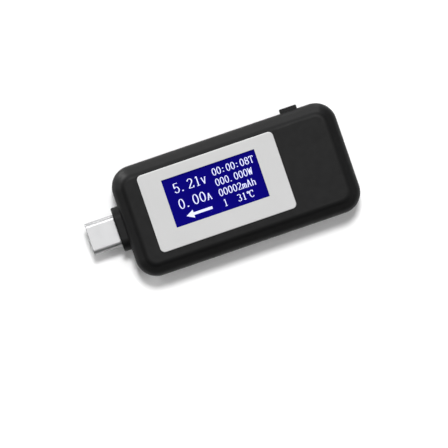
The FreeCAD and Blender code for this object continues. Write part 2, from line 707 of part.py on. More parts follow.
def make_flex_tail():
    """The display's ribbon: off the rear glass, down past the backlight and out along the board."""
    body = new_body("lcd_flex_tail")
    edge_x = "faceplate_centre_x - tail_width / 2"
    top = f"{REAR_GLASS_TOP} + tail_thickness"
    inner_y = "tail_drop_y + tail_thickness"
    runs = {
        "upper": ("tail_start_y", "tail_drop_y", REAR_GLASS_TOP, top),
        "drop": (inner_y, "tail_drop_y", BOARD_TOP, top),
        "foot": (inner_y, "tail_end_y", BOARD_TOP, f"{BOARD_TOP} + tail_thickness"),
    }
    for name, (start, end, low, high) in runs.items():
        middle = (f"({start} + {end}) / 2", f"({low} + {high}) / 2")
        run = new_sketch(body, f"{name}_outline", "YZ_Plane", *middle, edge_x)
        draw_rectangle(run, f"{start} - ({end})", f"{high} - ({low})")
        pad(body, name, run, "tail_width")
    bends = (
        ("upper_inner", inner_y, REAR_GLASS_TOP, "tail_bend - tail_thickness"),
        ("upper_outer", "tail_drop_y", top, "tail_bend"),
        ("foot_inner", "tail_drop_y", f"{BOARD_TOP} + tail_thickness", "tail_bend - tail_thickness"),
        ("foot_outer", inner_y, BOARD_TOP, "tail_bend"),
    )
    for name, y, z, radius in bends:
        soften(body, name, edges_along_x(body.Tip.Shape, number(y), number(z)), radius)
    return body


def make_button_cap():
    body = new_body("button_cap")
    stem_inner = f"({INNER_WALL_Y} - flange_gap - overlap)"
    stem_length = f"(body_width / 2 + button_reach - {stem_inner})"
    stem_plan = ("button_centre_x", f"{stem_inner} + {stem_length} / 2")
    stem = new_sketch(body, "stem_outline", "XY_Plane", *stem_plan, "button_underside")
    draw_rectangle(stem, "button_width", stem_length)
    pad(body, "stem", stem, "button_height")
    outer_y = number("body_width / 2 + button_reach")
    outer_edges = edges_where(body.Tip.Shape, lambda box: box.YMin > outer_y - EDGE_TOLERANCE)
    soften(body, "edge", outer_edges, "button_edge")
    flange_plan = ("button_centre_x", f"{FLANGE_INNER_Y} + flange_thickness / 2")
    flange_underside = f"{BOARD_TOP} + flange_clearance"
    flange = new_sketch(body, "flange_outline", "XY_Plane", *flange_plan, flange_underside)
    draw_rectangle(flange, "flange_width", "flange_thickness")
    pad(body, "flange", flange, "flange_height")
    return body


def make_switch_body():
    body = new_body("switch_body")
    plan = ("button_centre_x", "switch_front_y - switch_depth / 2")
    outline = new_sketch(body, "outline", "XY_Plane", *plan, BOARD_TOP)
    draw_rectangle(outline, "switch_width", "switch_depth")
    pad(body, "block", outline, "switch_height")
    hollow_plan = ("button_centre_x", "switch_front_y - switch_pocket_depth / 2 + overcut / 2")
    hollow_floor = f"{BUTTON_MIDDLE} - switch_pocket_height / 2"
    hollow = new_sketch(body, "hollow_outline", "XY_Plane", *hollow_plan, hollow_floor)
    draw_rectangle(hollow, "switch_pocket_width", "switch_pocket_depth + overcut")
    pocket(body, "hollow", hollow, "switch_pocket_height", forward=True)
    return body


def draw_bowed_leaf(sketch, span, rise, thickness):
    """A leaf bowed into an arc, its crown at the sketch's origin and its ends square to the span."""
    radius = f"((({span}) / 2) ^ 2 + ({rise}) ^ 2) / (2 * ({rise}))"
    outer, inner = number(radius), number(f"{radius} - ({thickness})")
    half_angle = math.asin(number(span) / 2 / outer)
    start, end = math.pi / 2 - half_angle, math.pi / 2 + half_angle
    centre, normal = point(0, -outer), FreeCAD.Vector(0, 0, 1)
    circles = [Part.Circle(centre, normal, size) for size in (outer, inner)]
    arcs = [Part.ArcOfCircle(circle, start, end) for circle in circles]
    for arc in arcs:
        sketch.addGeometry(arc, False)
    sketch.addGeometry(Part.LineSegment(arcs[0].StartPoint, arcs[1].StartPoint), False)
    sketch.addGeometry(Part.LineSegment(arcs[0].EndPoint, arcs[1].EndPoint), False)
    for line, end_of_arc in ((2, 1), (3, 2)):
        sketch.addConstraint(Sketcher.Constraint("Coincident", line, 1, 0, end_of_arc))
        sketch.addConstraint(Sketcher.Constraint("Coincident", line, 2, 1, end_of_arc))
        sketch.addConstraint(Sketcher.Constraint("Vertical", line))
    sketch.addConstraint(Sketcher.Constraint("Coincident", 0, 3, 1, 3))
    sketch.addConstraint(Sketcher.Constraint("Symmetric", 0, 1, 0, 2, -2))
    dimension(sketch, "radius", "Radius", 0, size=radius)
    dimension(sketch, "inner_radius", "Radius", 1, size=f"{radius} - ({thickness})")
    dimension(sketch, "span", "DistanceX", 0, 2, 0, 1, size=span)
    dimension(sketch, "crown", "DistanceY", 0, 3, -1, 1, size=radius)


def make_switch_spring():
    """A bowed leaf of spring steel behind the plunger, its middle against the plunger's end."""
    body = new_body("switch_spring")
    underside = f"{BUTTON_MIDDLE} - spring_width / 2"
    profile = new_sketch(body, "profile", "XY_Plane", "button_centre_x", PLUNGER_INNER_Y, underside)
    draw_bowed_leaf(profile, "spring_span", "spring_rise", "spring_thickness")
    pad(body, "leaf", profile, "spring_width")
    return body


def make_display():
    """The layers of the display, from the film on top down to the backlight's parts."""
    front_y = "glass_edge_y - front_glass_width / 2"
    rear_y = "glass_edge_y - rear_glass_width / 2"
    led_x = "faceplate_centre_x + (light_guide_length + led_depth) / 2"
    return [
        block("display_window", "window_length", "window_width", "window_thickness",
              *WINDOW_PLAN, FACEPLATE_SEAT),
        block("lcd_front_polarizer", "polarizer_length", "polarizer_width", "polarizer_thickness",
              *WINDOW_PLAN, FRONT_GLASS_TOP),
        block("lcd_front_glass", "glass_length", "front_glass_width", "glass_thickness",
              "faceplate_centre_x", front_y, REAR_GLASS_TOP),
        block("lcd_rear_glass", "glass_length", "rear_glass_width", "glass_thickness",
              "faceplate_centre_x", rear_y, REAR_GLASS_UNDERSIDE),
        block("lcd_rear_polarizer", "polarizer_length", "polarizer_width", "polarizer_thickness",
              *WINDOW_PLAN, f"{REAR_GLASS_UNDERSIDE} - polarizer_thickness"),
        block("lcd_driver_chip", "driver_length", "driver_width", "driver_height",
              "faceplate_centre_x", "driver_centre_y", REAR_GLASS_TOP),
        block("light_guide", "light_guide_length", "light_guide_width", "light_guide_thickness",
              *WINDOW_PLAN, GUIDE_UNDERSIDE),
        block("reflector_sheet", "light_guide_length", "light_guide_width", "reflector_thickness",
              *WINDOW_PLAN, f"{GUIDE_UNDERSIDE} - reflector_thickness"),
        row_of_blocks("backlight_leds", "led_depth", "led_width", "led_height",
                      led_x, "window_centre_y", GUIDE_UNDERSIDE, "led_count", "led_pitch", "Y_Axis"),
        row_of_blocks("display_foam_pad", "foam_length", "foam_strip_width",
                      f"{FRAME_UNDERSIDE} - {BOARD_TOP}", *FACEPLATE_PLAN, BOARD_TOP,
                      "foam_count", "foam_pitch", "Y_Axis"),
        make_backlight_frame(),
        make_flex_tail(),
    ]


def make_connectors():
    lower_plug = f"{BOARD_UNDERSIDE} - contact_thickness"
    lower_socket = f"{BOARD_UNDERSIDE} - socket_contact_thickness"
    plug_row = (f"({PLUG_TIP} + plug_contact_inset)", "plug_contact_length", "contact_thickness")
    socket_row = (SOCKET_REAR, "socket_length - socket_contact_inset", "socket_contact_thickness")
    return [
        make_collar(),
        make_plug_shell(),
        make_plug_insulator(),
        make_plug_latch(),
        make_contacts("plug_upper_contacts", *plug_row, BOARD_TOP),
        make_contacts("plug_lower_contacts", *plug_row, lower_plug),
        make_socket_shell(),
        make_socket_tongue(),
        make_contacts("socket_upper_contacts", *socket_row, BOARD_TOP),
        make_contacts("socket_lower_contacts", *socket_row, lower_socket),
    ]


def make_button():
    plunger = block(
        "switch_plunger", "plunger_width", "plunger_length", "plunger_height",
        "button_centre_x", f"{FLANGE_INNER_Y} - plunger_length / 2", f"{BUTTON_MIDDLE} - plunger_height / 2",
    )
    return [make_button_cap(), make_switch_body(), plunger, make_switch_spring()]


def chip(label, underside):
    """A chip, from the sheet's measures for it."""
    length, width, height, x, y = (f"{label}_{measure}" for measure in CHIP_MEASURES)
    return block(label, length, width, height, x, y, underside)


def chip_parts(label, part):
    """A row of small chip parts on the board's underside."""
    underside = f"{BOARD_UNDERSIDE} - {part}_height"
    return row_of_blocks(
        label, "chip_part_length", "chip_part_width", f"{part}_height",
        f"{part}_row_x", f"{part}_row_y", underside, f"{part}_count", f"{part}_pitch",
    )


def make_electronics():
    pieces = [make_main_board()]
    pieces += [chip(label, BOARD_TOP) for label in CHIPS_ON_TOP]
    pieces += [chip(label, f"{BOARD_UNDERSIDE} - {label}_height") for label in CHIPS_UNDERNEATH]
    return pieces + [chip_parts("capacitors", "capacitor"), chip_parts("resistors", "resistor")]


def check(pieces):
    """Stop if any object failed, or any piece is empty or not valid."""
    for item in doc.Objects:
        if {"Invalid", "Error"} & set(item.State):
            raise RuntimeError(f"{item.Name} failed: {item.State}")
    for piece in pieces:
        if piece.Shape.isNull() or not piece.Shape.isValid() or not piece.Shape.Solids:
            raise RuntimeError(f"{piece.Label} has no valid solid")


def export(pieces):
    os.makedirs("parts", exist_ok=True)
    for piece in pieces:
        piece.Shape.exportStep(f"parts/{piece.Label}.step")


fill_sheet()
parts = [make_top_shell(), make_bottom_shell(), make_faceplate()]
parts += make_display() + make_connectors() + make_button() + make_electronics()
doc.recompute()
check(parts)
export(parts)
for part in parts:
    box = part.Shape.BoundBox
    low = f"{box.XMin:.2f} {box.YMin:.2f} {box.ZMin:.2f}"
    high = f"{box.XMax:.2f} {box.YMax:.2f} {box.ZMax:.2f}"
    print(f"{part.Label}: {len(part.Shape.Solids)} solid(s), {low} to {high}")
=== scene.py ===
"""The looks of an in-line USB-C power meter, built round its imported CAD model.

All lengths are in metres. +X runs from the plug to the socket, +Y to the button side, +Z up.
"""

import math

import bmesh
import bpy
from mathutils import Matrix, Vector


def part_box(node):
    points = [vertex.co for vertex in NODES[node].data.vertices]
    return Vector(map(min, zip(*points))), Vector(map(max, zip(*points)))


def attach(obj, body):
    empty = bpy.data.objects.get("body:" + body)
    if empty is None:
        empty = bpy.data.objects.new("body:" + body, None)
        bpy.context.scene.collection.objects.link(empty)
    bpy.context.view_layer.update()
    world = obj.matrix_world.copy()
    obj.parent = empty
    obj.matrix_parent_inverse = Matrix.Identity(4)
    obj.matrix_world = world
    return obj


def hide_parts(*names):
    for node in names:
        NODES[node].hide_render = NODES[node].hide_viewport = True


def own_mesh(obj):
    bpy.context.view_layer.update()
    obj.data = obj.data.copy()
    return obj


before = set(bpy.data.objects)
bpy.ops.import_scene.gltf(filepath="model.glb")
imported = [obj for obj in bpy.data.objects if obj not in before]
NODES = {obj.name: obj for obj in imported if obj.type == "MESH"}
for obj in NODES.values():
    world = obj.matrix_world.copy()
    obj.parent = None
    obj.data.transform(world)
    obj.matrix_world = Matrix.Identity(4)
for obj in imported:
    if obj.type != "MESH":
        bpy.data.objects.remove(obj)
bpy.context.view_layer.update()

MM = 0.001

# How the meter lies under the camera: turned this far anticlockwise, and this far off the
# picture's middle, to the right and upwards.
TURN = math.radians(18.85)
OFF_MIDDLE = (3.04 * MM, 8.70 * MM)
PICTURE_WIDTH = 113.4 * MM
CAMERA_HEIGHT = 2.0
HALF_THICKNESS = 6.2 * MM

# A wave texture makes this many bands in each unit of its scale.
WAVES_PER_UNIT = 20 / (2 * math.pi)

# The readout, measured from the window's upper left corner: where its large and small lines
# start, how far apart the large signs are, the first small line's foot, the distance between
# small lines, and the arrow's tip.
LARGE_LEFT = 2.15 * MM
LARGE_PITCH = 1.86 * MM
SMALL_LEFT = 12.78 * MM
SMALL_FOOT = 3.10 * MM
SMALL_ROW = 2.75 * MM
ARROW_TIP = (3.26 * MM, 10.55 * MM)
LAYER_GAP = 0.001 * MM
LAYER_THICKNESS = 0.02 * MM
ARC_STEP = 15


# ---------------------------------------------------------------- camera, floor and light

def picture_axes():
    """The picture's right and up directions, in the meter's own frame."""
    right = Vector((math.cos(TURN), -math.sin(TURN), 0))
    up = Vector((math.sin(TURN), math.cos(TURN), 0))
    return right, up


def add_camera():
    right, up = picture_axes()
    centre = -OFF_MIDDLE[0] * right - OFF_MIDDLE[1] * up
    data = bpy.data.cameras.new("camera")
    data.lens = data.sensor_width * CAMERA_HEIGHT / PICTURE_WIDTH
    data.clip_end = 2 * CAMERA_HEIGHT
    camera = bpy.data.objects.new("camera", data)
    camera.location = (centre.x, centre.y, HALF_THICKNESS + CAMERA_HEIGHT)
    camera.rotation_euler = (0, 0, -TURN)
    bpy.context.scene.collection.objects.link(camera)
    bpy.context.scene.camera = camera


def direction(towards_right, towards_up, height):
    """A unit vector given in the picture's axes."""
    right, up = picture_axes()
    vector = towards_right * right + towards_up * up + height * Vector((0, 0, 1))
    return vector.normalized()


def add_sun(name, towards, strength, angle):
    data = bpy.data.lights.new(name, "SUN")
    data.energy = strength
    data.angle = math.radians(angle)
    lamp = bpy.data.objects.new(name, data)
    lamp.rotation_euler = direction(*towards).to_track_quat("Z", "Y").to_euler()
    bpy.context.scene.collection.objects.link(lamp)


def add_world(strength):
    world = bpy.data.worlds.new("studio")
    world.use_nodes = True
    background = world.node_tree.nodes["Background"]
    background.inputs["Color"].default_value = (1, 1, 1, 1)
    background.inputs["Strength"].default_value = strength
    bpy.context.scene.world = world


def add_floor(half_size=4.0):
    mesh = bpy.data.meshes.new("floor")
    signs = ((-1, -1), (1, -1), (1, 1), (-1, 1))
    corners = [(half_size * x, half_size * y, 0) for x, y in signs]
    mesh.from_pydata(corners, [], [(0, 1, 2, 3)])
    floor = bpy.data.objects.new("floor", mesh)
    bpy.context.scene.collection.objects.link(floor)
    surface = bpy.data.materials.new("floor")
    surface.use_nodes = True
    shader = surface.node_tree.nodes["Principled BSDF"]
    shader.inputs["Base Color"].default_value = (0.95, 0.95, 0.95, 1)
    shader.inputs["Roughness"].default_value = 0.9
    shader.inputs["Specular IOR Level"].default_value = 0.0
    mesh.materials.append(surface)


def add_studio():
    """A white tent: a key from above the picture, bright low walls behind and left, weak fills."""
    add_world(0.02)
    add_sun("key", (0.0, 0.364, 1.0), 2.48, 12.5)
    add_sun("low_back_left", (-1.0, 1.0, 0.074), 4.27, 10)
    add_sun("low_back", (0.0, 1.0, 0.052), 1.48, 10)
    add_sun("low_left", (-1.0, 0.0, 0.052), 0.7, 10)
    add_sun("high_back", (0.0, 1.19, 1.0), 0.35, 40)
    add_sun("right", (1.19, 0.0, 1.0), 0.69, 40)
    add_sun("high_right", (0.466, 0.0, 1.0), 0.26, 30)
    add_sun("high_left", (-0.466, 0.0, 1.0), 0.26, 30)
    add_sun("high_front", (0.0, -0.466, 1.0), 0.2, 30)
    bpy.context.scene.view_settings.view_transform = "Standard"


# ---------------------------------------------------------------- materials

class Nodes:
    """A material's node tree, with short ways to add to it."""

    def __init__(self, name):
        self.material = bpy.data.materials.new(name)
        self.material.use_nodes = True
        self.tree = self.material.node_tree
        self.shader = self.tree.nodes["Principled BSDF"]
        self.place = self.add("ShaderNodeTexCoord").outputs["Object"]

    def add(self, kind, **settings):
        node = self.tree.nodes.new(kind)
        for key, value in settings.items():
            setattr(node, key, value)
        return node

    def link(self, source, target):
        self.tree.links.new(source, target)

    def stretched(self, factors):
        """The place in the object, scaled along each axis."""
        if factors is None:
            return self.place
        node = self.add("ShaderNodeMapping", vector_type="TEXTURE")
        self.link(self.place, node.inputs["Vector"])
        node.inputs["Scale"].default_value = factors
        return node.outputs["Vector"]

    def noise(self, size, detail=2.0, roughness=0.5, stretch=None):
        """Noise whose lumps are about this many metres across."""
        node = self.add("ShaderNodeTexNoise")
        self.link(self.stretched(stretch), node.inputs["Vector"])
        node.inputs["Scale"].default_value = 1 / size
        node.inputs["Detail"].default_value = detail
        node.inputs["Roughness"].default_value = roughness
        return node.outputs["Fac"]

    def cells(self, size, feature="F1"):
        """Round cells about this many metres across."""
        node = self.add("ShaderNodeTexVoronoi", feature=feature)
        self.link(self.place, node.inputs["Vector"])
        node.inputs["Scale"].default_value = 1 / size
        return node.outputs["Distance"]

    def grid(self, pitch, gap):
        """A square grid: 1 on its lines and 0 between them."""
        node = self.add("ShaderNodeTexBrick", offset=0.0, squash=1.0)
        self.link(self.place, node.inputs["Vector"])
        node.inputs["Scale"].default_value = 1
        node.inputs["Brick Width"].default_value = pitch
        node.inputs["Row Height"].default_value = pitch
        node.inputs["Mortar Size"].default_value = gap / 2
        node.inputs["Mortar Smooth"].default_value = 0.1
        return node.outputs["Fac"]

    def bands(self, pitch):
        """Soft bands that repeat along X."""
        node = self.add("ShaderNodeTexWave", bands_direction="X")
        self.link(self.place, node.inputs["Vector"])
        node.inputs["Scale"].default_value = 1 / (pitch * WAVES_PER_UNIT)
        return node.outputs["Fac"]

    def edges(self, radius):
        """1 on the object's sharp edges, falling to 0 this far away."""
        rounded = self.add("ShaderNodeBevel", samples=4)
        rounded.inputs["Radius"].default_value = radius
        true_normal = self.add("ShaderNodeNewGeometry").outputs["Normal"]
        product = self.add("ShaderNodeVectorMath", operation="DOT_PRODUCT")
        self.link(rounded.outputs["Normal"], product.inputs[0])
        self.link(true_normal, product.inputs[1])
        return self.span(product.outputs["Value"], 1, 0, start=0.75, end=0.99)

    def facing(self, axis):
        """1 where the surface faces along an axis, either way, and 0 elsewhere."""
        parts = self.add("ShaderNodeSeparateXYZ")
        self.link(self.add("ShaderNodeNewGeometry").outputs["Normal"], parts.inputs["Vector"])
        size = self.add("ShaderNodeMath", operation="ABSOLUTE")
        self.link(parts.outputs[axis], size.inputs[0])
        return self.span(size.outputs["Value"], 0, 1, start=0.6, end=0.8)

    def span(self, source, low, high, start=0.3, end=0.7):
        """The source's values from start to end, stretched to run from low to high."""
        node = self.add("ShaderNodeMapRange")
        self.link(source, node.inputs["Value"])
        node.inputs["From Min"].default_value = start
        node.inputs["From Max"].default_value = end
        node.inputs["To Min"].default_value = low
        node.inputs["To Max"].default_value = high
        return node.outputs["Result"]

    def times(self, first, second):
        node = self.add("ShaderNodeMath", operation="MULTIPLY")
        for socket, value in zip(node.inputs, (first, second)):
            if isinstance(value, bpy.types.NodeSocket):
                self.link(value, socket)
            else:
                socket.default_value = value
        return node.outputs["Value"]

    def plus(self, first, second):
        node = self.add("ShaderNodeMath", operation="ADD")
        self.link(first, node.inputs[0])
        self.link(second, node.inputs[1])
        return node.outputs["Value"]

    def mix(self, factor, first, second):
        """A colour between two, each a colour or a socket."""
        node = self.add("ShaderNodeMix", data_type="RGBA")
        self.link(factor, node.inputs["Factor"])
        for name, value in (("A", first), ("B", second)):
            socket = next(s for s in node.inputs if s.name == name and s.type == "RGBA")
            if isinstance(value, bpy.types.NodeSocket):
                self.link(value, socket)
            else:
                socket.default_value = (*value, 1)
        return next(s for s in node.outputs if s.type == "RGBA")

    def colour(self, source):
        self.link(source, self.shader.inputs["Base Color"])

    def roughness(self, source):
        self.link(source, self.shader.inputs["Roughness"])

    def bump(self, height, distance):
        node = self.add("ShaderNodeBump")
        self.link(height, node.inputs["Height"])
        node.inputs["Distance"].default_value = distance
        node.inputs["Strength"].default_value = 1
        self.link(node.outputs["Normal"], self.shader.inputs["Normal"])

    def set(self, **values):
        """Constants on the shader's own sockets, by their names with _ for each space."""
        for name, value in values.items():
            self.shader.inputs[name.replace("_", " ")].default_value = value


def moulded_plastic(name, dark, light, worn, gloss, grain, depth, specular):
    """Moulded plastic: a fine spark-eroded grain, patches of slightly different shade, and edges rubbed
    paler. The gloss is the roughness, from its least to its most."""
    nodes = Nodes(name)
    patches = nodes.span(nodes.noise(5 * MM, detail=3), 0, 1)
    edges = nodes.times(nodes.edges(0.18 * MM), nodes.span(nodes.noise(0.9 * MM), 0.2, 1))
    nodes.colour(nodes.mix(edges, nodes.mix(patches, dark, light), worn))
    least, most = gloss
    nodes.roughness(nodes.span(nodes.noise(1.5 * MM, detail=4), least, most))
    nodes.bump(nodes.noise(grain, detail=3, roughness=0.6), depth)
    nodes.set(Specular_IOR_Level=specular)
    return nodes.material


def black_housing():
    return moulded_plastic(
        "black_housing", (0.0022, 0.0022, 0.0023), (0.0028, 0.0028, 0.003), (0.005, 0.005, 0.0052),
        gloss=(0.48, 0.56), grain=0.1 * MM, depth=0.0015 * MM, specular=0.146)


def black_button():
    return moulded_plastic(
        "black_button", (0.0032, 0.0032, 0.0034), (0.004, 0.004, 0.0043), (0.008, 0.008, 0.0085),
        gloss=(0.44, 0.52), grain=0.08 * MM, depth=0.001 * MM, specular=0.125)


def black_insulator():
    return moulded_plastic(
        "black_insulator", (0.006, 0.006, 0.006), (0.009, 0.009, 0.009), (0.016, 0.016, 0.016),
        gloss=(0.28, 0.4), grain=0.06 * MM, depth=0.001 * MM, specular=0.4)


def grey_faceplate():
    """Grey paint over a smooth panel: faint orange peel, and edges where the paint runs thin."""
    nodes = Nodes("grey_faceplate")
    patches = nodes.span(nodes.noise(7 * MM, detail=3), 0, 1)
    paint_colour = nodes.mix(patches, (0.475, 0.475, 0.475), (0.487, 0.487, 0.487))
    nodes.colour(nodes.mix(nodes.edges(0.12 * MM), paint_colour, (0.45, 0.45, 0.45)))
    nodes.roughness(nodes.span(nodes.noise(1.2 * MM, detail=4), 0.44, 0.54))
    nodes.bump(nodes.noise(0.35 * MM, detail=2), 0.0012 * MM)
    nodes.set(Specular_IOR_Level=0.3)
    return nodes.material


def clear_window():
    """A clear cover: only a thin veil of gloss, with hairline wipe marks in it."""
    nodes = Nodes("clear_window")
    nodes.set(Base_Color=(0.004, 0.004, 0.006, 1), Alpha=0.04, Specular_IOR_Level=0.12)
    nodes.roughness(nodes.span(nodes.noise(0.4 * MM, stretch=(6, 1, 1)), 0.26, 0.32))
    return nodes.material


def display_film(name, light):
    """The display's blue film: a grid of dark gaps between its dots, lit from behind."""
    nodes = Nodes(name)
    patches = nodes.span(nodes.noise(8 * MM), 0, 1)
    dots = nodes.mix(patches, (0.0015, 0.0008, 0.085), (0.002, 0.001, 0.1))
    nodes.colour(nodes.mix(nodes.grid(0.19 * MM, 0.018 * MM), dots, (0.001, 0.0006, 0.055)))
    nodes.roughness(nodes.span(nodes.noise(1 * MM), 0.4, 0.5))
    nodes.set(Emission_Color=(0.002, 0.0005, 0.2, 1), Emission_Strength=light, Specular_IOR_Level=0.0)
    return nodes.material


def display_white():
    """Dots of the display that let the lamp's light through."""
    nodes = Nodes("display_white")
    dots = nodes.mix(nodes.span(nodes.noise(2 * MM), 0, 1), (0.3, 0.31, 0.42), (0.34, 0.35, 0.46))
    nodes.colour(nodes.mix(nodes.grid(0.19 * MM, 0.018 * MM), dots, (0.2, 0.2, 0.4)))
    nodes.roughness(nodes.span(nodes.noise(1 * MM), 0.45, 0.55))
    nodes.set(Emission_Color=(0.74, 0.76, 1, 1), Emission_Strength=0.9, Specular_IOR_Level=0.0)
    return nodes.material


def drawn_metal(name, dark, light, gloss, scratch_depth, worn=None):
    """Sheet metal drawn along the meter: fine lines the long way, smudges, and brighter edges."""
    nodes = Nodes(name)
    lines = nodes.noise(0.05 * MM, detail=3, stretch=(40, 1, 1))
    smudges = nodes.span(nodes.noise(2.5 * MM, detail=3), 0, 1)
    sheet = nodes.mix(smudges, dark, light)
    nodes.colour(nodes.mix(nodes.edges(0.1 * MM), sheet, worn or light))
    least, most = gloss
    nodes.roughness(nodes.span(nodes.plus(nodes.times(lines, 0.5), nodes.times(smudges, 0.5)), least, most))
    nodes.bump(lines, scratch_depth)
    nodes.set(Metallic=1.0)
    return nodes.material


def plug_steel():
    return drawn_metal("plug_steel", (0.325, 0.325, 0.329), (0.342, 0.342, 0.346), (0.4, 0.5), 0.0008 * MM)


def socket_steel():
    return drawn_metal("socket_steel", (0.5, 0.5, 0.51), (0.56, 0.56, 0.57), (0.32, 0.46), 0.0008 * MM)


def spring_steel():
    return drawn_metal("spring_steel", (0.42, 0.41, 0.39), (0.5, 0.49, 0.47), (0.25, 0.4), 0.0005 * MM)


def crystal_can():
    return drawn_metal("crystal_can", (0.6, 0.59, 0.56), (0.66, 0.65, 0.62), (0.25, 0.4), 0.0005 * MM)


def contact_gold():
    """Thin gold plate, rubbed back to nickel on its edges."""
    return drawn_metal(
        "contact_gold", (0.72, 0.46, 0.16), (0.8, 0.54, 0.2), (0.22, 0.36), 0.0004 * MM,
        worn=(0.6, 0.57, 0.5))


def chip_epoxy():
    """Black moulding compound with a fine sparkle of filler."""
    nodes = Nodes("chip_epoxy")
    filler = nodes.span(nodes.cells(0.06 * MM), 0, 1, start=0.05, end=0.2)
    compound = nodes.mix(filler, (0.035, 0.035, 0.035), (0.016, 0.016, 0.017))
    nodes.colour(nodes.mix(nodes.edges(0.06 * MM), compound, (0.05, 0.05, 0.05)))
    nodes.roughness(nodes.span(nodes.noise(0.5 * MM), 0.5, 0.65))
    nodes.bump(filler, 0.001 * MM)
    return nodes.material


def chip_part(name, dark, light):
    """A small chip part: a glazed body between two tinned ends."""
    nodes = Nodes(name)
    glaze = nodes.mix(nodes.span(nodes.noise(0.3 * MM), 0, 1), dark, light)
    ends = nodes.facing("X")
    nodes.colour(nodes.mix(ends, glaze, (0.6, 0.6, 0.6)))
    nodes.link(ends, nodes.shader.inputs["Metallic"])
    nodes.roughness(nodes.span(nodes.noise(0.2 * MM), 0.3, 0.5))
    nodes.bump(nodes.noise(0.1 * MM), 0.001 * MM)
    return nodes.material


def board_green():
    """Solder mask over copper tracks that show as a slightly raised, paler mesh."""
    nodes = Nodes("board_green")
    tracks = nodes.span(nodes.cells(2.2 * MM, "DISTANCE_TO_EDGE"), 1, 0, start=0.04, end=0.07)
    mask = nodes.mix(nodes.span(nodes.noise(4 * MM), 0, 1), (0.008, 0.075, 0.022), (0.01, 0.09, 0.028))
    green = nodes.mix(tracks, mask, (0.02, 0.16, 0.045))
    nodes.colour(nodes.mix(nodes.edges(0.1 * MM), green, (0.3, 0.27, 0.14)))
    nodes.roughness(nodes.span(nodes.noise(1 * MM), 0.25, 0.4))
    nodes.bump(tracks, 0.02 * MM)
    return nodes.material


def flex_amber():
    """Amber film with a row of copper lines under it."""
    nodes = Nodes("flex_amber")
    copper = nodes.span(nodes.bands(0.5 * MM), 0, 1, start=0.55, end=0.65)
    nodes.colour(nodes.mix(copper, (0.32, 0.12, 0.015), (0.5, 0.24, 0.06)))
    nodes.roughness(nodes.span(nodes.noise(0.8 * MM), 0.25, 0.4))
    nodes.bump(copper, 0.01 * MM)
    return nodes.material


def foam_grey():
    """Open foam: a network of cells, painted darker towards each pore's middle as shade in the hollows."""
    nodes = Nodes("foam_grey")
    pores = nodes.cells(0.22 * MM)
    # Painted shade: the colour darkens towards each pore's middle, where the hollows would lie in shade.
    depth = nodes.span(pores, 0, 1, start=0.1, end=0.6)
    nodes.colour(nodes.mix(depth, (0.03, 0.03, 0.03), (0.12, 0.12, 0.12)))
    nodes.roughness(nodes.span(nodes.noise(1 * MM), 0.85, 0.95))
    nodes.bump(pores, 0.08 * MM)
    return nodes.material


def white_plastic(name, shade, gloss, grain):
    """White moulded or sheet plastic, faintly yellowed in patches."""
    nodes = Nodes(name)
    aged = (shade, shade * 0.985, shade * 0.94)
    body = nodes.mix(nodes.span(nodes.noise(3 * MM), 0, 1), (shade, shade, shade), aged)
    worn = (shade * 0.85, shade * 0.85, shade * 0.82)
    nodes.colour(nodes.mix(nodes.edges(0.08 * MM), body, worn))
    least, most = gloss
    nodes.roughness(nodes.span(nodes.noise(0.8 * MM), least, most))
    nodes.bump(nodes.noise(grain, detail=3), 0.001 * MM)
    return nodes.material


def backlight_package():
    """White lamp packages with a yellow phosphor patch on the side that shines."""
    nodes = Nodes("backlight_package")
    phosphor = nodes.times(nodes.facing("X"), nodes.span(nodes.noise(0.5 * MM), 0.7, 1))
    nodes.colour(nodes.mix(phosphor, (0.75, 0.75, 0.73), (0.8, 0.62, 0.1)))
    nodes.roughness(nodes.span(nodes.noise(0.3 * MM), 0.35, 0.5))
    nodes.bump(nodes.noise(0.1 * MM), 0.001 * MM)
    return nodes.material


def display_glass():
    """Thin glass with a green cut edge and faint smears."""
    nodes = Nodes("display_glass")
    nodes.colour(nodes.mix(nodes.edges(0.15 * MM), (0.05, 0.06, 0.06), (0.12, 0.3, 0.22)))
    nodes.roughness(nodes.span(nodes.noise(2 * MM), 0.04, 0.12))
    nodes.set(Alpha=0.5)
    return nodes.material


def light_guide_acrylic():
    """Acrylic with rows of tiny dots that turn the light upwards."""
    nodes = Nodes("light_guide_acrylic")
    dots = nodes.span(nodes.cells(0.4 * MM), 1, 0, start=0.15, end=0.3)
    nodes.colour(nodes.mix(dots, (0.55, 0.58, 0.6), (0.85, 0.87, 0.9)))
    nodes.roughness(nodes.span(nodes.noise(1 * MM), 0.12, 0.25))
    nodes.bump(dots, 0.01 * MM)
    return nodes.material


def silicon():
    """A bare die: dark mirror-like silicon with a grid of circuit blocks."""
    nodes = Nodes("silicon")
    blocks = nodes.grid(0.3 * MM, 0.04 * MM)
    nodes.colour(nodes.mix(blocks, (0.05, 0.055, 0.07), (0.11, 0.12, 0.15)))
    nodes.roughness(nodes.span(nodes.noise(0.4 * MM), 0.12, 0.25))
    nodes.bump(blocks, 0.002 * MM)
    nodes.set(Metallic=0.6)
    return nodes.material


CONTACT_ROWS = (
    "plug_upper_contacts", "plug_lower_contacts", "socket_upper_contacts", "socket_lower_contacts",
)
BLACK_PACKAGES = (
    "switch_body", "microcontroller", "voltage_regulator", "protection_diode",
    "memory_chip", "current_amplifier",
)


def paint(material, *names):
    """Put a material on every slot of these CAD nodes."""
    for name in names:
        for slot in NODES[name].material_slots:
            slot.material = material


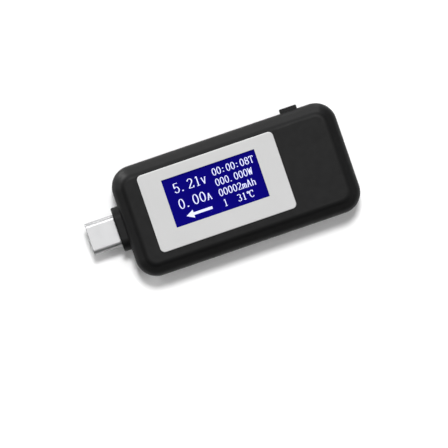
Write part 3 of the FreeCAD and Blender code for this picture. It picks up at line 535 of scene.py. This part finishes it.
def paint_all():
    paint(black_housing(), "top_shell", "bottom_shell", "plug_collar")
    paint(black_button(), "button_cap")
    paint(black_insulator(), "plug_insulator", "socket_tongue", "switch_plunger")
    paint(grey_faceplate(), "faceplate")
    paint(clear_window(), "display_window")
    paint(display_film("lit_film", 0.55), "lcd_front_polarizer")
    paint(display_film("unlit_film", 0.0), "lcd_rear_polarizer")
    paint(display_glass(), "lcd_front_glass", "lcd_rear_glass")
    paint(silicon(), "lcd_driver_chip")
    paint(flex_amber(), "lcd_flex_tail")
    paint(light_guide_acrylic(), "light_guide")
    paint(white_plastic("reflector_sheet", 0.85, (0.35, 0.45), 0.3 * MM), "reflector_sheet")
    paint(white_plastic("white_frame", 0.7, (0.45, 0.6), 0.1 * MM), "backlight_frame")
    paint(backlight_package(), "backlight_leds")
    paint(foam_grey(), "display_foam_pad")
    paint(plug_steel(), "plug_shell")
    paint(socket_steel(), "socket_shell")
    paint(spring_steel(), "plug_latch", "switch_spring")
    paint(contact_gold(), *CONTACT_ROWS)
    paint(chip_epoxy(), *BLACK_PACKAGES)
    paint(board_green(), "main_board")
    paint(crystal_can(), "crystal")
    resistor_glaze = chip_part("resistor_glaze", (0.012, 0.012, 0.012), (0.02, 0.02, 0.02))
    paint(resistor_glaze, "shunt_resistor", "resistors")
    paint(chip_part("capacitor_ceramic", (0.3, 0.19, 0.1), (0.36, 0.24, 0.14)), "capacitors")


# ---------------------------------------------------------------- switch spring

def add_spring_leaf():
    """The bowed leaf behind the plunger, copied from its CAD node into a mesh of its own on the meter, with
    the CAD node hidden.
    """
    node = NODES["switch_spring"]
    data = node.data.copy()
    data.transform(node.matrix_world)
    leaf = bpy.data.objects.new("switch_spring_leaf", data)
    bpy.context.scene.collection.objects.link(leaf)
    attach(leaf, "meter")
    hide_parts("switch_spring")
    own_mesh(leaf)


# ---------------------------------------------------------------- readout

def arc(x, y, width, height, start, end):
    """Points along part of an ellipse, between two angles in degrees."""
    steps = round(abs(end - start) / ARC_STEP)
    angles = [math.radians(start + (end - start) * step / steps) for step in range(steps + 1)]
    return [(x + width / 2 * math.cos(angle), y + height / 2 * math.sin(angle)) for angle in angles]


def dot(x, y):
    """A dot of the pen."""
    return arc(x, y, 0.09, 0.055, 0, 360)


# Each sign is a list of pen strokes in a cell 1 wide and 1 high, with its foot on 0.
SIGNS = {
    ".": [dot(0.24, 0.06)],
    ":": [dot(0.4, 0.16), dot(0.4, 0.62)],
    "0": [arc(0.5, 0.5, 0.74, 0.96, 0, 360)],
    "1": [[(0.52, 0.97), (0.52, 0.03)], [(0.3, 0.84), (0.52, 0.95)], [(0.26, 0.02), (0.78, 0.02)]],
    "2": [
        arc(0.48, 0.73, 0.7, 0.48, 170, -35) + [(0.12, 0.05)],
        [(0.1, 0.04), (0.86, 0.04)],
        [(0.86, 0.02), (0.92, 0.2)],
    ],
    "3": [arc(0.46, 0.75, 0.66, 0.44, 155, -90), arc(0.46, 0.27, 0.76, 0.5, 90, -155)],
    "5": [[(0.22, 0.96), (0.84, 0.96)], [(0.22, 0.97), (0.18, 0.5)], arc(0.48, 0.31, 0.74, 0.58, 140, -155)],
    "8": [arc(0.5, 0.75, 0.62, 0.44, 0, 360), arc(0.5, 0.27, 0.76, 0.5, 0, 360)],
    "A": [
        [(0.5, 0.98), (0.86, 0.02)],
        [(0.5, 0.98), (0.14, 0.02)],
        [(0.26, 0.36), (0.74, 0.36)],
        [(0.02, 0.02), (0.28, 0.02)],
        [(0.7, 0.02), (0.99, 0.02)],
    ],
    "T": [
        [(0.5, 0.97), (0.5, 0.02)],
        [(0.08, 0.96), (0.92, 0.96)],
        [(0.09, 0.97), (0.06, 0.76)],
        [(0.91, 0.97), (0.94, 0.76)],
        [(0.32, 0.02), (0.68, 0.02)],
    ],
    "V": [
        [(0.12, 0.97), (0.5, 0.02)],
        [(0.5, 0.02), (0.86, 0.97)],
        [(0.0, 0.97), (0.3, 0.97)],
        [(0.7, 0.97), (1.0, 0.97)],
    ],
    "W": [
        [(0.08, 0.97), (0.29, 0.02)],
        [(0.29, 0.02), (0.5, 0.86)],
        [(0.5, 0.86), (0.71, 0.02)],
        [(0.71, 0.02), (0.92, 0.97)],
        [(0.0, 0.97), (0.2, 0.97)],
        [(0.8, 0.97), (1.0, 0.97)],
    ],
    "h": [
        [(0.2, 0.98), (0.2, 0.02)],
        arc(0.5, 0.4, 0.58, 0.44, 180, 0) + [(0.79, 0.02)],
        [(0.06, 0.02), (0.34, 0.02)],
        [(0.64, 0.02), (0.94, 0.02)],
    ],
    "m": [
        [(0.12, 0.64), (0.12, 0.02)],
        arc(0.31, 0.44, 0.38, 0.34, 180, 0) + [(0.5, 0.02)],
        arc(0.69, 0.44, 0.38, 0.34, 180, 0) + [(0.88, 0.02)],
        [(0.0, 0.02), (0.22, 0.02)],
        [(0.78, 0.02), (1.0, 0.02)],
    ],
    "\u2103": [
        arc(0.42, 0.82, 0.36, 0.25, 0, 360),
        arc(1.2, 0.5, 0.94, 0.94, 45, 318),
        [(1.53, 0.97), (1.53, 0.72)],
    ],
}


def add_stroke(mesh, points, thick, thin, low, high):
    """Add one pen stroke to a mesh. The pen is thick on upright runs and thin on level ones."""
    closed = math.dist(points[0], points[-1]) < thin / 100
    path = points[:-1] if closed else points
    last = len(path) - 1
    rings = []
    for index, (x, y) in enumerate(path):
        before = path[index - 1] if closed or index > 0 else path[0]
        after = path[0] if closed and index == last else path[min(index + 1, last)]
        along = (Vector(after) - Vector(before)).normalized()
        half = (thin + (thick - thin) * abs(along.y)) / 2
        side = (-half * along.y, half * along.x)
        corners = ((1, low), (-1, low), (-1, high), (1, high))
        rings.append([mesh.verts.new((x + way * side[0], y + way * side[1], z)) for way, z in corners])
    pairs = list(zip(rings, rings[1:])) + ([(rings[-1], rings[0])] if closed else [])
    for first, second in pairs:
        for corner in range(4):
            following = (corner + 1) % 4
            mesh.faces.new((first[corner], first[following], second[following], second[corner]))
    if not closed:
        mesh.faces.new(rings[0])
        mesh.faces.new(rings[-1])


class Line:
    """One line of the readout: where it starts on the film, and the size of its signs."""

    def __init__(self, text, left, foot, pitch, width, height, thick, thin):
        self.text = text
        self.left = left
        self.foot = foot
        self.pitch = pitch
        self.width = width
        self.height = height
        self.thick = thick
        self.thin = thin

    def draw(self, mesh, corner, low, high):
        """Draw the line, measured from the window's upper left corner."""
        for place, sign in enumerate(self.text):
            left = corner.x + self.left + place * self.pitch + (self.pitch - self.width) / 2
            foot = corner.y - self.foot
            for stroke in SIGNS[sign]:
                points = [(left + x * self.width, foot + y * self.height) for x, y in stroke]
                add_stroke(mesh, points, self.thick, self.thin, low, high)


def large_line(text, foot):
    return Line(text, LARGE_LEFT, foot, LARGE_PITCH, 1.62 * MM, 2.52 * MM, 0.28 * MM, 0.13 * MM)


def large_unit(text, foot):
    left = LARGE_LEFT + 4 * LARGE_PITCH
    return Line(text, left, foot, 1.4 * MM, 1.27 * MM, 1.7 * MM, 0.25 * MM, 0.14 * MM)


def small_line(text, row, shift=0.0):
    left = SMALL_LEFT + shift
    foot = SMALL_FOOT + row * SMALL_ROW
    return Line(text, left, foot, 1.238 * MM, 1.12 * MM, 1.82 * MM, 0.22 * MM, 0.13 * MM)


def draw_arrow(mesh, corner, low, high):
    """The arrow that shows which way the current flows, pointing at the plug."""
    x = corner.x + ARROW_TIP[0]
    y = corner.y - ARROW_TIP[1]
    head, half_head, length, half_shaft = 1.94 * MM, 1.04 * MM, 6.9 * MM, 0.34 * MM
    outline = [
        (0, 0), (head, -half_head), (head, -half_shaft), (length, -half_shaft),
        (length, half_shaft), (head, half_shaft), (head, half_head),
    ]
    base = [mesh.verts.new((x + along, y + across, low)) for along, across in outline]
    top = [mesh.verts.new((x + along, y + across, high)) for along, across in outline]
    mesh.faces.new(base)
    mesh.faces.new(top)
    for index, vertex in enumerate(base):
        following = (index + 1) % len(base)
        mesh.faces.new((vertex, base[following], top[following], top[index]))


def add_display_piece(name, material, draw):
    """A layer of white dots lying on the display's film."""
    mesh = bmesh.new()
    draw(mesh)
    bmesh.ops.recalc_face_normals(mesh, faces=mesh.faces)
    data = bpy.data.meshes.new(name)
    mesh.to_mesh(data)
    mesh.free()
    piece = bpy.data.objects.new(name, data)
    bpy.context.scene.collection.objects.link(piece)
    data.materials.append(material)
    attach(piece, "meter")


def add_readout():
    low_corner, high_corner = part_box("display_window")
    corner = Vector((low_corner.x, high_corner.y))
    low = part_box("lcd_front_polarizer")[1].z + LAYER_GAP
    high = low + LAYER_THICKNESS
    lines = [
        large_line("5.21", 4.25 * MM),
        large_unit("V", 4.25 * MM),
        large_line("0.00", 8.47 * MM),
        large_unit("A", 8.47 * MM),
        small_line("00:00:08T", 0),
        small_line("000.000W", 1),
        small_line("00002mAh", 2),
        small_line("1", 3, shift=0.3 * MM),
        small_line("31\u2103", 3, shift=4.05 * MM),
    ]
    white = display_white()
    for place, line in enumerate(lines):
        name = f"readout_line_{place}"
        add_display_piece(name, white, lambda mesh: line.draw(mesh, corner, low, high))
    add_display_piece("readout_arrow", white, lambda mesh: draw_arrow(mesh, corner, low, high))


add_camera()
add_floor()
add_studio()
paint_all()
add_spring_leaf()
add_readout()
